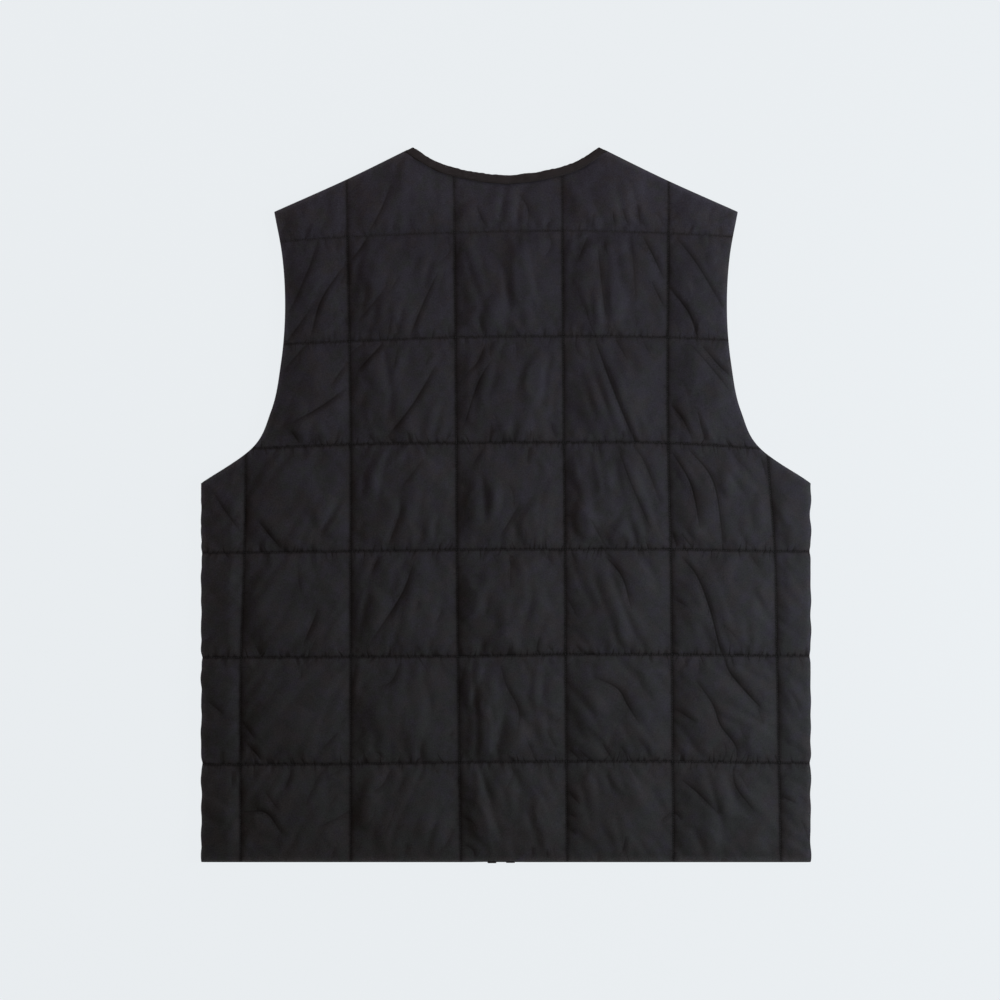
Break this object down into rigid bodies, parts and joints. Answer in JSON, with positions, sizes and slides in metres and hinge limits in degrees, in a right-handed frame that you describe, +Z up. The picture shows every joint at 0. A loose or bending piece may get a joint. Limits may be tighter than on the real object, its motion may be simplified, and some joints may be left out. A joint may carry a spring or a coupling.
{
  "type": "insulated vest",
  "caption": "Box-quilted insulated vest laid flat with its back up, round bound neck, cut-in armholes and a straight hem.",
  "frame": {"origin": "bottom centre of the bounding box, on the surface that the vest lies on", "axes": "+Z up from the surface, +Y from hem to neck, +X towards the wearer's right, because the back of the vest faces up"},
  "size_m": [0.5776, 0.6795, 0.0137],
  "materials": {
    "shell_fabric": "near-black plain-woven nylon with a faint sheen, box-quilted with matching thread",
    "binding_tape": "matte black woven tape folded over the edge",
    "press_studs": "matte black lacquered press studs"
  },
  "bodies": {
    "root": {"back": "shell_fabric", "front_left": "shell_fabric", "front_right": "shell_fabric", "neck_binding_back": "binding_tape", "neck_binding_left": "binding_tape", "neck_binding_right": "binding_tape", "edge_binding_left": "binding_tape", "edge_binding_right": "binding_tape", "snap_cap_1": "press_studs", "snap_cap_2": "press_studs", "snap_cap_3": "press_studs", "snap_cap_4": "press_studs", "snap_cap_5": "press_studs", "snap_back_1": "press_studs", "snap_back_2": "press_studs", "snap_back_3": "press_studs", "snap_back_4": "press_studs", "snap_back_5": "press_studs"}
  },
  "joints": []
}
